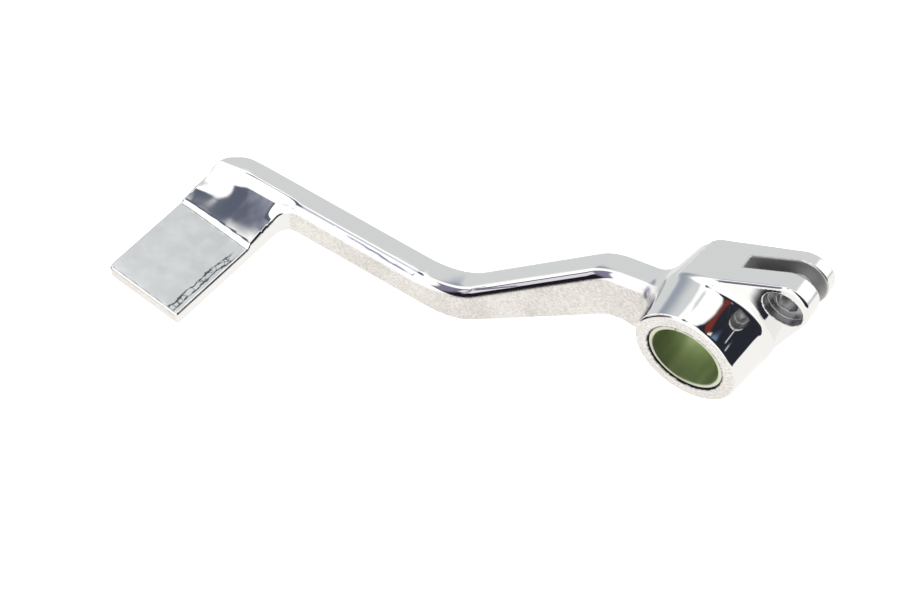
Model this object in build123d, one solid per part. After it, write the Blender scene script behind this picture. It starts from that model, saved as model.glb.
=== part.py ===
from build123d import *
import os
from math import acos, atan2, cos, degrees, hypot, radians, sin, tan

os.makedirs("parts", exist_ok=True)

# A brake pedal lever for a motorcycle: one aluminium forging on two plain bushes.
# Millimetres. The origin is on the pivot axis at the middle of the hub's length.
# +X runs from the foot plate towards the hub, +Y points inboard to the frame, +Z is up.

# Bushes, pressed into the hub from its two ends
bush_bore_d = 22.0
bush_wall = 1.5
bush_length = 15.0
bush_recess = 0.5
bush_seat_clearance = 0.01
bush_split_gap = 0.35
bush_split_angle = 248.5
bush_edge_chamfer = 0.35
grease_gap = 2.0

# Hub, a barrel drafted both ways from a crest near the arm
hub_outboard_wall = 4.5
hub_inboard_wall = 3.7
hub_crest_wall = 6.5
hub_crest_y = -0.5
hub_crest_land = 2.0
hub_edge_round = 0.8
bore_mouth_chamfer = 0.45

# Arm, level at the foot plate, then rising to the hub
arm_width = 10.5
arm_shift = -0.45
arm_height = 12.5
arm_top_round = 3.6
rise_angle_top = 46.0
rise_angle_under = 42.0
low_bend_top_r = 32.0
low_bend_under_r = 28.0
high_bend_top_r = 22.0
high_bend_under_r = 12.0
neck_length_top = 18.3
neck_length_under = 11.5
neck_top_z = 1.1
neck_top_slope = 13.0
neck_under_step = 3.4
neck_under_fall = 1.7
neck_fillet_r = 3.0
arm_edge_round = 1.0

# Foot plate and the knuckle that carries it
pad_reach = 173.2
pad_drop = 63.0
plate_thickness = 5.5
plate_depth = 31.2
plate_overhang = 50.8
plate_skew = 5.5
plate_corner_r = 1.2
foot_edge_round = 0.6
knuckle_outer_r = 10.5
knuckle_inner_r = 5.0
knuckle_fade_length = 19.5
ramp_angle = 40.0

# Clevis, two ears beside a slot for the brake rod's flat end
clevis_length = 28.8
clevis_top_angle = 32.0
clevis_top_tangent_r = 17.65
clevis_tip_depth = 16.36
clevis_under_tangent_r = 17.85
clevis_tip_r = 7.0
clevis_heel_r = 12.0
clevis_outboard_y = -0.8
clevis_inboard_lean = 5.0
clevis_inboard_straight = 16.5
clevis_edge_round = 1.0
slot_width = 4.6
slot_centre_y = 8.35
slot_floor_cover = 0.75
pin_hole_d = 6.6
pin_to_tip = 8.035
pin_below_top = 10.235
counterbore_d = 12.8
counterbore_depth = 2.6

# Two lengths or places closer together than this count as the same
slack = 0.01

# Worked out from the sizes above
bore_r = bush_bore_d / 2 + bush_wall
hub_length = 2 * (bush_length + bush_recess) + grease_gap
hub_outboard_r = bore_r + hub_outboard_wall
hub_inboard_r = bore_r + hub_inboard_wall
hub_crest_r = bore_r + hub_crest_wall
arm_outboard_y = arm_shift - arm_width / 2
arm_inboard_y = arm_shift + arm_width / 2
plate_top_z = -pad_drop
level_bottom_z = plate_top_z - plate_thickness
level_top_z = level_bottom_z + arm_height
neck_top_x = -(hub_crest_r + neck_length_top)
neck_under_x = -(hub_crest_r + neck_length_under)
neck_under_z = -(hub_crest_r - neck_under_step)
inner_corner_x = -pad_reach + plate_depth / 2 / cos(radians(plate_skew))
foot_end_x = inner_corner_x + knuckle_fade_length
clevis_slope = radians(clevis_top_angle)
top_foot_x = -clevis_top_tangent_r * sin(clevis_slope)
top_foot_z = clevis_top_tangent_r * cos(clevis_slope)
tip_top_z = top_foot_z + (clevis_length - top_foot_x) * tan(clevis_slope)
pin_x = clevis_length - pin_to_tip
pin_z = tip_top_z - pin_to_tip * tan(clevis_slope) - pin_below_top
pin_angle = atan2(pin_z, pin_x)


def same(a, b):
    """Whether two lengths are equal within the slack."""
    return abs(a - b) < slack


def side_plate(points, radii, y_low, y_high):
    """A closed outline in the X-Z plane with rounded corners, thickened from y_low to y_high."""
    line = FilletPolyline(*[(x, y_low, z) for x, z in points], radius=radii, close=True)
    return extrude(make_face(line), amount=y_high - y_low, dir=(0, 1, 0))


def hub_barrel():
    """The hub turned about the pivot axis, its outside drafted both ways from a narrow land."""
    half = hub_length / 2
    land = hub_crest_land / 2
    outline = Polyline(
        (0, -half), (hub_outboard_r, -half), (hub_crest_r, hub_crest_y - land),
        (hub_crest_r, hub_crest_y + land), (hub_inboard_r, half), (0, half), close=True,
    )
    barrel = revolve(make_face(outline), axis=Axis.Y)
    rims = barrel.edges().filter_by(GeomType.CIRCLE).group_by(Axis.Y)
    return fillet(rims[0] + rims[-1], hub_edge_round)


def arm_outline():
    """Corner points and bend radii of the arm seen from the side, upper edge first."""
    run_top = (neck_top_z - level_top_z) / tan(radians(rise_angle_top))
    run_under = (neck_under_z - level_bottom_z) / tan(radians(rise_angle_under))
    inside_x = -bore_r
    inside_z = neck_top_z + (inside_x - neck_top_x) * tan(radians(neck_top_slope))
    return [
        (-pad_reach, level_top_z, 0),
        (neck_top_x - run_top, level_top_z, low_bend_top_r),
        (neck_top_x, neck_top_z, high_bend_top_r),
        (inside_x, inside_z, 0),
        (-bore_r / 3, neck_under_z - neck_under_fall, 0),
        (neck_under_x, neck_under_z, high_bend_under_r),
        (neck_under_x - run_under, level_bottom_z, low_bend_under_r),
        (-pad_reach, level_bottom_z, 0),
    ]


def arm_middle_z(x):
    """Height of a line that runs between the arm's upper and lower edges."""
    level_z = (level_top_z + level_bottom_z) / 2
    neck_z = (neck_top_z + neck_under_z) / 2
    neck_x = (neck_top_x + neck_under_x) / 2
    slope = tan(radians((rise_angle_top + rise_angle_under) / 2))
    return min(neck_z, max(level_z, neck_z + (x - neck_x) * slope))


def long_edges(body, y, upper):
    """The upper or the lower chain of edges along one side of the arm, up to its end faces."""
    chain = ShapeList()
    for edge in body.edges():
        middle = edge @ 0.5
        start, end = edge @ 0, edge @ 1
        on_side = same(start.Y, y) and same(end.Y, y)
        at_end = same(start.X, end.X) or middle.X > -bore_r
        if on_side and not at_end and (middle.Z > arm_middle_z(middle.X)) == upper:
            chain.append(edge)
    return chain


def arm():
    """The arm, with a generous round along its upper outboard corner."""
    outline = arm_outline()
    corners = [(x, z) for x, z, _ in outline]
    radii = [r for _, _, r in outline]
    body = side_plate(corners, radii, arm_outboard_y, arm_inboard_y)
    body = fillet(long_edges(body, arm_outboard_y, True), arm_top_round)
    small = long_edges(body, arm_outboard_y, False)
    small += long_edges(body, arm_inboard_y, True) + long_edges(body, arm_inboard_y, False)
    return fillet(small, arm_edge_round)


def neck_corners(body):
    """The edges where the arm runs into the barrel."""

    def on_barrel(point):
        radius = hypot(point.X, point.Z)
        in_range = hub_inboard_r - slack < radius < hub_crest_r + slack
        beside = abs(point.Y - arm_shift) < arm_width / 2 + slack
        return in_range and beside and point.X < -bore_r / 3

    return body.edges().filter_by(lambda e: all(on_barrel(e @ t) for t in (0, 0.5, 1)))


def plate_point(along_arm, outboard):
    """A plan point measured from where the foot plate's middle line leaves the arm."""
    k = radians(plate_skew)
    x = -pad_reach + along_arm * cos(k) - outboard * sin(k)
    y = arm_outboard_y - along_arm * sin(k) - outboard * cos(k)
    return x, y


def foot_plan():
    """Plan outline of the foot plate and knuckle, an L around the arm's end, with corner radii."""
    half = plate_depth / 2
    skew = radians(plate_skew)
    back_run = arm_width / cos(skew) - half * tan(skew)
    return [
        (*plate_point(-half, plate_overhang), plate_corner_r),
        (*plate_point(half, plate_overhang), plate_corner_r),
        (inner_corner_x, arm_outboard_y, knuckle_inner_r),
        (foot_end_x, arm_outboard_y + arm_top_round * (1 - sin(radians(ramp_angle))), 0),
        (foot_end_x, arm_inboard_y, 0),
        (*plate_point(-half, -back_run), knuckle_outer_r),
    ]


def foot_section(x0):
    """Section of the foot across the arm: level top, round, ramp down, level plate."""
    ramp = radians(ramp_angle)
    round_y = arm_outboard_y + arm_top_round
    round_z = level_top_z - arm_top_round
    leave_y = round_y - arm_top_round * sin(ramp)
    leave_z = round_z + arm_top_round * cos(ramp)
    ramp_r = (leave_z - plate_top_z) / (1 - cos(ramp))
    foot_y = leave_y - ramp_r * sin(ramp)
    far_y = arm_outboard_y - 2 * plate_overhang
    round_mid_y = round_y - arm_top_round * sin(ramp / 2)
    round_mid_z = round_z + arm_top_round * cos(ramp / 2)
    ramp_mid_y = foot_y + ramp_r * sin(ramp / 2)
    ramp_mid_z = plate_top_z + ramp_r * (1 - cos(ramp / 2))
    return Wire([
        Line((x0, arm_inboard_y, level_top_z), (x0, round_y, level_top_z)),
        ThreePointArc(
            (x0, round_y, level_top_z), (x0, round_mid_y, round_mid_z), (x0, leave_y, leave_z)
        ),
        ThreePointArc(
            (x0, leave_y, leave_z), (x0, ramp_mid_y, ramp_mid_z), (x0, foot_y, plate_top_z)
        ),
        Line((x0, foot_y, plate_top_z), (x0, far_y, plate_top_z)),
        Line((x0, far_y, plate_top_z), (x0, far_y, level_bottom_z)),
        Line((x0, far_y, level_bottom_z), (x0, arm_inboard_y, level_bottom_z)),
        Line((x0, arm_inboard_y, level_bottom_z), (x0, arm_inboard_y, level_top_z)),
    ])


def foot_rims(block):
    """The edges where the foot's side walls meet its top and its bottom."""
    rims = ShapeList()
    for edge in block.edges():
        start, end = edge @ 0, edge @ 1
        upright = same(start.X, end.X) and same(start.Y, end.Y)
        at_end = same(start.X, foot_end_x) and same(end.X, foot_end_x)
        along_arm = same(start.Y, end.Y) and same(start.Z, end.Z) and edge.geom_type == GeomType.LINE
        on_back = same(start.Y, arm_inboard_y)
        if not upright and not at_end and (on_back or not along_arm):
            rims.append(edge)
    return rims


def foot():
    """Foot plate and knuckle: the plan outline under one section that ramps down from the arm."""
    plan = foot_plan()
    line = FilletPolyline(
        *[(x, y, level_bottom_z) for x, y, _ in plan], radius=[r for _, _, r in plan], close=True
    )
    block = extrude(make_face(line), amount=arm_height, dir=(0, 0, 1))
    x0 = -pad_reach - plate_depth
    section = extrude(make_face(foot_section(x0)), amount=foot_end_x - x0 + plate_depth, dir=(1, 0, 0))
    block = block & section
    return fillet(foot_rims(block), foot_edge_round)


def clevis_rims(block):
    """The clevis's edges along its two outer faces, clear of the hub's bore."""

    def is_rim(edge):
        start, end = edge @ 0, edge @ 1
        clear = min(hypot(p.X, p.Z) for p in (start, end)) > bore_r
        return clear and abs(start.Y - end.Y) < slot_width

    return block.edges().filter_by(is_rim)


def clevis():
    """The clevis block, tangent to the hub, its inboard face leaning in towards the tip."""
    heel_z = tip_top_z - clevis_tip_depth
    heel_angle = atan2(heel_z, clevis_length)
    under = heel_angle - acos(clevis_under_tangent_r / hypot(clevis_length, heel_z))
    corners = [
        (0, 0),
        (top_foot_x, top_foot_z),
        (clevis_length, tip_top_z),
        (clevis_length, heel_z),
        (clevis_under_tangent_r * cos(under), clevis_under_tangent_r * sin(under)),
    ]
    radii = [0, 0, clevis_tip_r, clevis_heel_r, 0]
    inboard_y = hub_length / 2
    block = side_plate(corners, radii, clevis_outboard_y, inboard_y)
    lean = tan(radians(clevis_inboard_lean))
    inner = Plane(origin=(0, inboard_y, clevis_inboard_straight), z_dir=(0, -1, -lean))
    block = split(block, bisect_by=inner, keep=Keep.TOP)
    return fillet(clevis_rims(block), clevis_edge_round)


def clevis_slot():
    """The slot, cut square across the clevis from its tip down to just clear of the hub."""
    floor = hub_crest_r + slot_floor_cover
    reach = 2 * clevis_length
    cut = Box(reach, slot_width, 2 * reach, align=(Align.MIN, Align.CENTER, Align.CENTER))
    return Pos(0, slot_centre_y, 0) * Rot(0, -degrees(pin_angle), 0) * Pos(floor, 0, 0) * cut


def pin_hole():
    """The cross hole through both ears and the counterbore in the outboard one."""
    across = Pos(pin_x, clevis_outboard_y, pin_z) * Rot(90, 0, 0)
    hole = across * Cylinder(pin_hole_d / 2, 2 * hub_length)
    recess = across * Cylinder(counterbore_d / 2, 2 * counterbore_depth)
    return hole + recess


def lever():
    """The whole forging."""
    body = hub_barrel() + arm()
    body = fillet(neck_corners(body), neck_fillet_r)
    body = body + foot() + clevis()
    bore = Rot(90, 0, 0) * Cylinder(bore_r, 2 * hub_length)
    body = body - bore - clevis_slot() - pin_hole()
    circles = body.edges().filter_by(GeomType.CIRCLE)
    mouths = circles.filter_by(lambda e: same(e.radius, bore_r))
    return chamfer(mouths, bore_mouth_chamfer)


def bush(end):
    """A rolled bush with its split along the length, seated just inside one end of the hub."""
    outer_r = bore_r - bush_seat_clearance
    ring = Cylinder(outer_r, bush_length)
    ring = chamfer(ring.edges().filter_by(GeomType.CIRCLE), bush_edge_chamfer)
    ring = ring - Cylinder(bush_bore_d / 2, bush_length)
    slit = Box(
        2 * outer_r, bush_split_gap, bush_length, align=(Align.MIN, Align.CENTER, Align.CENTER)
    )
    ring = ring - Rot(0, 0, bush_split_angle) * slit
    middle_y = end * (hub_length / 2 - bush_recess - bush_length / 2)
    return Pos(0, middle_y, 0) * Rot(90, 0, 0) * ring


def write(name, shape):
    shape.label = name
    export_step(shape, f"parts/{name}.step")


write("pedal_lever", lever())
write("outboard_bush", bush(-1))
write("inboard_bush", bush(1))
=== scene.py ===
# %% [markdown]
# # A polished brake pedal in Blender
# The pedal is one piece of bright metal with two thin bushes pressed into its hub.
# The frame holds the exact solids, so this file only adds what a camera sees:
# soft corners, mirror metal, brushed faces, a stained foot plate and a studio.

# %% Load the frame
import bmesh
import bpy
import math
import numpy as np
from mathutils import Matrix, Vector


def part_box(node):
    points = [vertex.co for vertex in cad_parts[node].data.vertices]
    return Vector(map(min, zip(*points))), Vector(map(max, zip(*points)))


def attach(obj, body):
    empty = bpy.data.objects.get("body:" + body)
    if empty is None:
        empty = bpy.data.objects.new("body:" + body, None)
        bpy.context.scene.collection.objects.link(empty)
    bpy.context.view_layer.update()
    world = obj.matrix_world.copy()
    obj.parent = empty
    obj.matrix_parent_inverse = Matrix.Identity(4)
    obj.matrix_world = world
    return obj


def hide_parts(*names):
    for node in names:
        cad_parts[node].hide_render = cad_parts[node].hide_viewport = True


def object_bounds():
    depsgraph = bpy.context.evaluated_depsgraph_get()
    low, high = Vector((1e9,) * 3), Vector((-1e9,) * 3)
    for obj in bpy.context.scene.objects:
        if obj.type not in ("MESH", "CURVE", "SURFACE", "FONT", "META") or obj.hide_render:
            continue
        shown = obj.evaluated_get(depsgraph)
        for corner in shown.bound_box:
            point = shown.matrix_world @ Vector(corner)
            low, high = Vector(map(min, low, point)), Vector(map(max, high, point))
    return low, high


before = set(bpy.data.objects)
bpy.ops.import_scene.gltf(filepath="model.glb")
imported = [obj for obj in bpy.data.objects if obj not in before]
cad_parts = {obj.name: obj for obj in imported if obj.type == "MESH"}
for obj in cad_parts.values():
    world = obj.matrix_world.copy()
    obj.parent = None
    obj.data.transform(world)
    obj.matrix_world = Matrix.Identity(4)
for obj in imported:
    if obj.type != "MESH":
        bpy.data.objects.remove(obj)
cad_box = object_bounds()
print("CAD box", [tuple(round(v, 4) for v in corner) for corner in cad_box])

# %% [markdown]
# ## The camera
# The photograph looks down on the outer side of the pedal from far away with a long lens.
# A camera could be placed by eye, but then no edge would lie over its edge in the photograph.
# Its place was worked out from the round edges of the hub, which look like narrow ovals.

# %% Set the camera
CAMERA_AZIMUTH = math.radians(34.51)
CAMERA_ELEVATION = math.radians(55.36)
CAMERA_PLACE = Vector((0.16077, -0.37055, 0.58417))
SENSOR_WIDTH = 36
FOCAL_PIXELS, PHOTO_WIDTH = 2400, 900

camera_back = Vector((math.sin(CAMERA_AZIMUTH) * math.cos(CAMERA_ELEVATION),
                      -math.cos(CAMERA_AZIMUTH) * math.cos(CAMERA_ELEVATION),
                      math.sin(CAMERA_ELEVATION)))
camera_right = Vector((math.cos(CAMERA_AZIMUTH), math.sin(CAMERA_AZIMUTH), 0))
camera_up = camera_back.cross(camera_right)
camera_data = bpy.data.cameras.new("photo_camera")
camera_data.sensor_width = SENSOR_WIDTH
camera_data.lens = SENSOR_WIDTH * FOCAL_PIXELS / PHOTO_WIDTH
camera_data.clip_start, camera_data.clip_end = 0.01, 20
camera = bpy.data.objects.new("photo_camera", camera_data)
turn = Matrix((camera_right, camera_up, camera_back)).transposed()
camera.matrix_world = Matrix.Translation(CAMERA_PLACE) @ turn.to_4x4()
bpy.context.scene.collection.objects.link(camera)
bpy.context.scene.camera = camera
bpy.context.scene.view_settings.view_transform = "Standard"
print("lens", round(camera_data.lens, 1), "mm")

# %% [markdown]
# ## The lever's form as one formula
# The real lever was forged, ground and buffed, so its faces run into each other in soft corners.
# A mirror shows every facet, so the CAD mesh is not enough, and a bevel modifier stops where
# corners meet. Here the whole form is a distance field: a formula that is negative inside the
# metal, zero on its skin and positive outside. All lengths in it are millimetres.
# Two fields join with a rounded minimum, which gives the corner the round that buffing leaves.

# %% Join two fields
def round_max(a, b, radius):
    """Overlap of two solids, its convex edge rounded by a quarter circle that joins the faces."""
    beyond = np.hypot(np.maximum(a + radius, 0.0), np.maximum(b + radius, 0.0))
    return np.minimum(-radius, np.maximum(a, b)) + beyond


def round_min(a, b, radius):
    """Join of two solids with a hollow fillet of radius where they meet."""
    return -round_max(-a, -b, radius)


def soft_min(a, b, reach):
    """Join of two solids that melt into each other: a parabola where they are within reach."""
    near = np.maximum(reach - np.abs(a - b), 0.0) / reach
    return np.minimum(a, b) - near * near * reach / 4


def rise(value, low, high):
    """Smooth step from 0 at low to 1 at high."""
    t = np.clip((value - low) / (high - low), 0, 1)
    return t * t * (3 - 2 * t)


print("edge of two faces, 1 mm round:", round(float(round_max(0.0, 0.0, 1.0)), 3), "mm outside")

# %% [markdown]
# ## Outlines
# The arm and the foot are straight runs joined by arcs, as a forging die is drawn.
# A ramp or a barrel is easier to draw by how steep it is, because steepness decides
# what a mirror shows: a list of slopes is summed up to heights.

# %% Draw an outline
SECTION_STEPS = 900


def line_left(p, q, start, end):
    """Distance of the points (p, q) to the left of a line from start to end."""
    along = np.subtract(end, start) / math.dist(start, end)
    return (q - start[1]) * along[0] - (p - start[0]) * along[1]


def bent_line(p, q, corners, radii):
    """Distance to the left of a path of straight runs joined by tangent arcs. Each arc counts
    between the normals at its two ends: there it is the radius less the distance to the centre."""
    distance = line_left(p, q, corners[0], corners[1])
    for before, corner, after, radius in zip(corners, corners[1:], corners[2:], radii):
        t0 = np.subtract(corner, before) / math.dist(corner, before)
        t1 = np.subtract(after, corner) / math.dist(after, corner)
        turn = t0[0] * t1[1] - t0[1] * t1[0]
        side = math.copysign(1.0, turn)
        tangent = radius * math.tan(abs(math.atan2(turn, t0 @ t1)) / 2)
        centre = corner - t0 * tangent + side * radius * np.array([-t0[1], t0[0]])
        past_start = (p - centre[0]) * t0[0] + (q - centre[1]) * t0[1] > 0
        past_end = (p - centre[0]) * t1[0] + (q - centre[1]) * t1[1] > 0
        arc = side * (radius - np.hypot(p - centre[0], q - centre[1]))
        beyond = np.where(past_end, line_left(p, q, corner, after), arc)
        distance = np.where(past_start, beyond, distance)
    return distance


def line_from_slopes(places, degrees, low, high):
    """A section drawn by how steep it is, from height low at the first place to high at the last.
    Gives rows of place, height and slope. All slopes are scaled a little, so that the ends fit."""
    place = np.linspace(places[0], places[-1], SECTION_STEPS)
    slope = np.tan(np.radians(np.interp(place, places, degrees)))
    climb = np.concatenate([[0], np.cumsum((slope[1:] + slope[:-1]) / 2 * np.diff(place))])
    scale = (high - low) / climb[-1]
    return np.array([place, low + climb * scale, slope * scale])


print("5 mm above a line to the right:", round(float(line_left(3, 5, (0, 0), (9, 0))), 3), "mm")

# %% [markdown]
# ## The hub's barrel
# The hub is a fat ring about the pivot axis, forged with draft on both sides of a crest.
# Its outboard side is full near the rim and flares towards the clevis; its inboard side is a cone.
# A turned profile would do the same, but as a field it can melt into the arm and the clevis.

# %% Form the barrel
BORE_R = 12.5
HUB_HALF = 16.5
SOFT_EDGE = 0.8
BARREL_PLACES = [-16.5, -13.5, -9.0, -5.0, -3.0, -1.2, 0.5]
BARREL_SLOPES = [13.0, 8.0, 6.0, 6.5, 9.0, 16.0, 16.0]
RIM_R, FLARE_R = 17.0, 19.3
CREST_R, CREST_Y, CREST_REACH = 19.0, 0.5, 0.9
INBOARD_SLOPE = 2.8 / 16.0
barrel_line = line_from_slopes(BARREL_PLACES, BARREL_SLOPES, RIM_R, FLARE_R)


def barrel_field(x, y, z):
    """Two tapers about the pivot axis that meet in a soft crest, with a rounded rim outboard."""
    across = np.hypot(x, z)
    radius, slope = (np.interp(y, barrel_line[0], barrel_line[row]) for row in (1, 2))
    outer = (across - radius) / np.hypot(1, slope)
    inner = (across - CREST_R + (y - CREST_Y) * INBOARD_SLOPE) / math.hypot(1, INBOARD_SLOPE)
    side = -soft_min(-outer, -inner, CREST_REACH)
    return round_max(side, -HUB_HALF - y, SOFT_EDGE)


print("barrel's radius at y -8:", round(float(np.interp(-8, *barrel_line[:2])), 2), "mm")

# %% [markdown]
# ## The cranked arm
# The arm is a flat bar, cranked twice so that the foot plate hangs below the pivot.
# A bar swept along a path would have the same section everywhere, but the real one has straight
# outer faces and edges of its own: a wide round along the top where the polish runs over the
# corner, a smaller one inboard, and a top that buffing has left very slightly domed.

# %% Form the arm
ARM_LEVEL = -56.0
ARM_TOP = [(-230, -56), (-92.44, -56), (-37.3, 1.1), (-12.5, 6.83)]
ARM_UNDER = [(-230, -68.5), (-89.25, -68.5), (-30.5, -15.6), (-4.17, -17.3)]
TOP_BENDS, UNDER_BENDS = [32, 22], [28, 12]
ARM_OUT, ARM_IN = -5.7, 4.8
ARM_FROM, ARM_TO = -150.0, -BORE_R / 3
ARM_ROUND, INNER_ROUND = 3.6, 1.8
CROWN, CROWN_Y = 0.005, 1.0


def crown(y):
    """How far buffing has lowered the arm's top beside its middle: a very flat parabola."""
    return CROWN * (y - CROWN_Y) ** 2


def arm_field(x, y, z):
    """The side outline between two bent lines, as thick as the arm is wide, edges rounded."""
    body = round_max(bent_line(x, z, ARM_TOP, TOP_BENDS) + crown(y), ARM_OUT - y, ARM_ROUND)
    body = round_max(body, y - ARM_IN, INNER_ROUND)
    body = round_max(body, -bent_line(x, z, ARM_UNDER, UNDER_BENDS), SOFT_EDGE)
    return np.maximum(np.maximum(body, ARM_FROM - x), x - ARM_TO)


print("arm", round(ARM_IN - ARM_OUT, 2), "mm thick, domed by", round(crown(ARM_OUT), 2), "mm")

# %% [markdown]
# ## The foot's plan
# Seen from above the foot is an L: the arm's end turns outboard and becomes the plate.
# The plate is skewed a little, so its outline is given by points measured from the line
# along its middle. A rounded overlap of edges gives every corner its own radius.

# %% Outline the foot
PLATE_ROOT_X = -173.2
PLATE_SKEW = math.radians(5.5)
PLATE_HALF, PLATE_REACH, PLATE_BACK = 15.6, 50.8, -9.05
OUTER_KNUCKLE_R, INNER_KNUCKLE_R, PLATE_CORNER_R = 10.5, 5.0, 1.2
INNER_CORNER_X, FOOT_END = -157.53, -138.03


def plate_point(along, outboard):
    """A plan point measured from where the foot plate's middle line leaves the arm."""
    s, c = math.sin(PLATE_SKEW), math.cos(PLATE_SKEW)
    return (PLATE_ROOT_X + along * c - outboard * s, ARM_OUT - along * s - outboard * c)


def foot_plan(x, y):
    """Distance outside the L: round the knuckle, out along the plate and back to the arm."""
    back, far = plate_point(-PLATE_HALF, PLATE_BACK), plate_point(-PLATE_HALF, PLATE_REACH)
    near = plate_point(PLATE_HALF, PLATE_REACH)
    corner, arm_side = (INNER_CORNER_X, ARM_OUT), (FOOT_END, ARM_OUT)
    plan = round_max(-line_left(x, y, back, far), y - ARM_IN, OUTER_KNUCKLE_R)
    plan = round_max(plan, -line_left(x, y, far, near), PLATE_CORNER_R)
    inner_side = -bent_line(x, y, [near, corner, arm_side], [INNER_KNUCKLE_R])
    return round_max(plan, inner_side, PLATE_CORNER_R)


print("plate's outboard corner", [round(v, 1) for v in plate_point(PLATE_HALF, PLATE_REACH)], "mm")

# %% [markdown]
# ## The ramp
# From the arm's level top the knuckle rolls over, runs down to the plate as a ramp and ends in a
# low step, where a cutter levelled the plate. Its two sides differ: towards the hub it is a tight
# lip and a long slope, at the far side a rounder shoulder. One straight ramp would mirror one flat
# grey, so two sections are drawn by their slopes and blended along the arm.

# %% Draw the ramp's two sections
PLATE_TOP, PLATE_BOTTOM = -63.0, -68.5
NEAR_PLACES = [-23.0, -20.9, -20.3, -19.4, -18.8, -14.0, -9.0, -5.0, -4.0, -2.6, -1.8, -1.2]
NEAR_SLOPES = [0, 0, 46, 46, 9, 11, 17, 22, 50, 50, 8, 0]
FAR_PLACES = [-23.0, -20.9, -20.3, -19.6, -19.0, -14.0, -10.5, -8.0, -5.0, -3.0, -1.2]
FAR_SLOPES = [0, 0, 42, 42, 8, 9, 14, 30, 42, 30, 0]
near_ramp = line_from_slopes(NEAR_PLACES, NEAR_SLOPES, PLATE_TOP, ARM_LEVEL)
far_ramp = line_from_slopes(FAR_PLACES, FAR_SLOPES, PLATE_TOP, ARM_LEVEL)
steepest = math.degrees(math.atan(near_ramp[2].max()))
print("steepest part of the ramp", round(steepest, 1), "degrees")

# %% [markdown]
# ## The foot's top
# The ramp gets longer towards the hub, as its foot doesn't run along the arm. The knuckle's top
# sinks towards its far end, and beside the arm the section fades into the arm's level top, so that
# the two top faces and their rounds are one. A sharp join would show as a line in the mirror.

# %% Form the foot
RAMP_START, FAN_SPAN, RAMP_FAN = -3.0, (-187, -158), (1.0, 1.18)
SINK, SINK_FROM, SINK_FADE = 2.0, 2.0, (-14.0, -4.0)
NEAR_FADE = (-189, -171)
ARM_FADE_X, ARM_FADE_Y = (-162, -150.5), (-12, -7)
ARM_ROUND_FADE, INNER_ROUND_FADE = (-2, 0), (0.5, 2.5)


def foot_section(x, y):
    """Height and steepness of the ramp below a plan point, blended from far to near section."""
    length = np.interp(x, FAN_SPAN, RAMP_FAN)
    ramp_y = np.where(y < RAMP_START, RAMP_START + (y - RAMP_START) / length, y)
    nearness = rise(x, *NEAR_FADE)
    return (np.interp(ramp_y, far_ramp[0], far_ramp[row]) * (1 - nearness)
            + np.interp(ramp_y, near_ramp[0], near_ramp[row]) * nearness for row in (1, 2))


def foot_field(x, y, z):
    """The L-shaped plan under the ramp's section, down to the underside. The top edge's radius
    goes from a small one around the plate to the arm's own rounds beside the arm."""
    sink_line = plate_point(SINK_FROM, PLATE_REACH), plate_point(SINK_FROM, 0)
    past_middle = np.maximum(line_left(x, y, *sink_line), 0) / (PLATE_HALF + SINK_FROM)
    sink = SINK * past_middle ** 2 * rise(y, *SINK_FADE)
    to_arm = rise(x, *ARM_FADE_X) * rise(y, *ARM_FADE_Y)
    height, steepness = foot_section(x, y)
    height = height + (ARM_LEVEL - height) * to_arm - crown(np.maximum(y, RAMP_START))
    top = (z + sink - height) / np.hypot(1, steepness * (1 - to_arm))
    edge = SOFT_EDGE + (ARM_ROUND - SOFT_EDGE) * to_arm * (1 - rise(y, *ARM_ROUND_FADE))
    edge = edge + (INNER_ROUND - SOFT_EDGE) * rise(y, *INNER_ROUND_FADE)
    upper = round_max(foot_plan(x, y), top, edge)
    body = round_max(upper, PLATE_BOTTOM - z, SOFT_EDGE)
    return np.maximum(body, x - FOOT_END)


print("plate's middle is", round(float(foot_field(*np.array([[-176.0], [-35.0], [-65.0]]))[0]), 2),
      "mm from the skin")

# %% [markdown]
# ## The clevis
# Out of the hub grows a wedge, tangent to the barrel above and below: its two ears hold the end
# of a pushrod. It was forged with the rest, so its inboard face has draft and leans in. The side
# outline could be one path, but the tip is narrower than an arc at each end allows, so two paths
# overlap: one comes down over the tip, and the other goes round the heel.

# %% Form the clevis
TOP_TURN, UNDER_TURN = math.radians(32.0), math.radians(-22.8)
TOP_TANGENT_R, UNDER_TANGENT_R = 17.65, 17.85
TIP_X, TIP_DEPTH, TIP_ROUND, HEEL_ROUND = 28.8, 16.36, 7.0, 12.0
EAR_OUT, EAR_ROUND, EAR_LEAN, EAR_BACK = -0.8, 1.0, math.radians(5.0), 2.0


def clevis_field(x, y, z):
    """A wedge rounded at tip and heel, its inboard face leaning in towards the top."""
    tip = (TIP_X, (TOP_TANGENT_R + TIP_X * math.sin(TOP_TURN)) / math.cos(TOP_TURN))
    heel = (TIP_X, tip[1] - TIP_DEPTH)
    foot_top = (-TOP_TANGENT_R * math.sin(TOP_TURN), TOP_TANGENT_R * math.cos(TOP_TURN))
    foot_under = (UNDER_TANGENT_R * math.cos(UNDER_TURN), UNDER_TANGENT_R * math.sin(UNDER_TURN))
    side = np.maximum(bent_line(x, z, [foot_top, tip, heel], [TIP_ROUND]),
                      bent_line(x, z, [tip, heel, foot_under], [HEEL_ROUND]))
    inboard = (y - HUB_HALF) * math.cos(EAR_LEAN) + (z - HUB_HALF) * math.sin(EAR_LEAN)
    body = round_max(side, EAR_OUT - y, EAR_ROUND)
    body = round_max(body, inboard, EAR_ROUND)
    behind = -(x * math.cos(TOP_TURN) + z * math.sin(TOP_TURN)) - EAR_BACK
    return np.maximum(body, behind)


print("ears", round(HUB_HALF - EAR_OUT, 1), "mm over both")

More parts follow.
